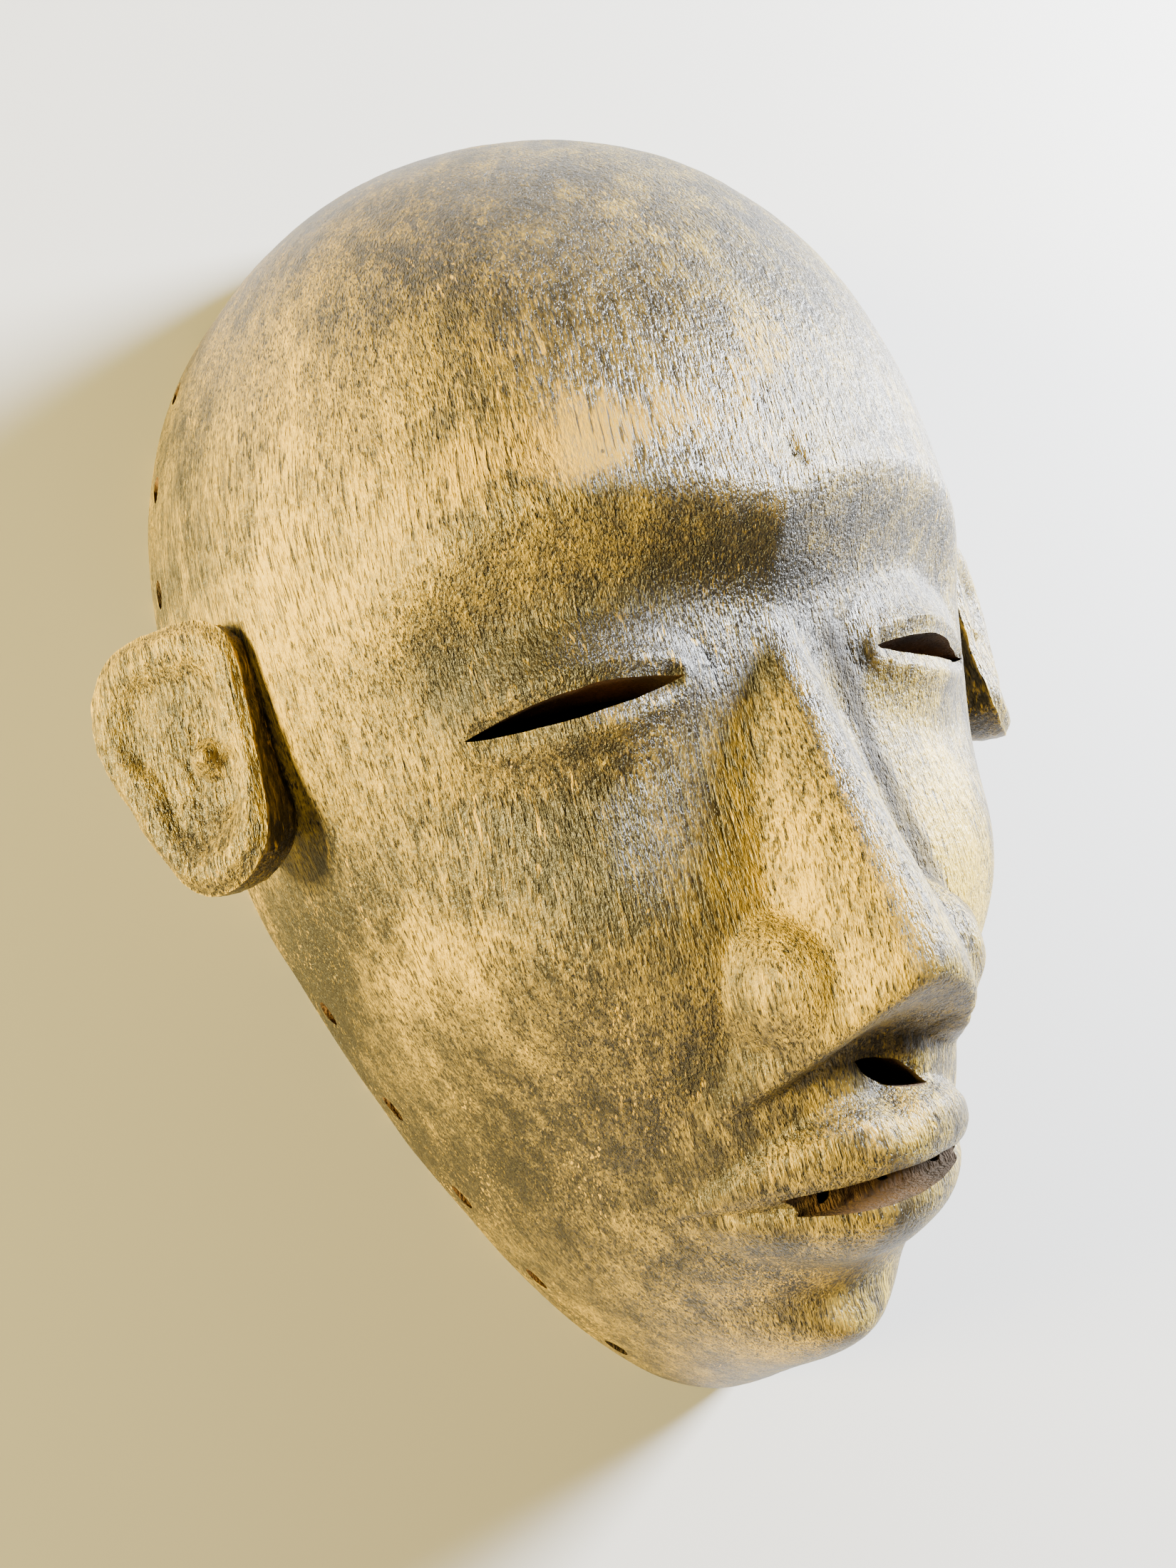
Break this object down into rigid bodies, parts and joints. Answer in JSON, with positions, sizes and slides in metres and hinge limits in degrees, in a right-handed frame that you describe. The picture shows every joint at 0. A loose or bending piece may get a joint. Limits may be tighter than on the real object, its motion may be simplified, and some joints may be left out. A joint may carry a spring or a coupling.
{
  "type": "dan mask",
  "caption": "Hollow carved wooden face mask with pierced eye slits, full lips, two plate ears and a row of tie holes along its back rim, lying on that rim.",
  "frame": {"origin": "middle of the mask's bounding box, on the plane of its flat back rim", "axes": "+X the right of someone facing the mask, +Y toward its crown, +Z out of its face; it lies on its back rim at z = 0"},
  "size_m": [0.1748, 0.24, 0.0947],
  "materials": {
    "wood": "dark rubbed patina over brown wood, satin"
  },
  "bodies": {
    "root": {"carved_mask": "wood"}
  },
  "joints": []
}
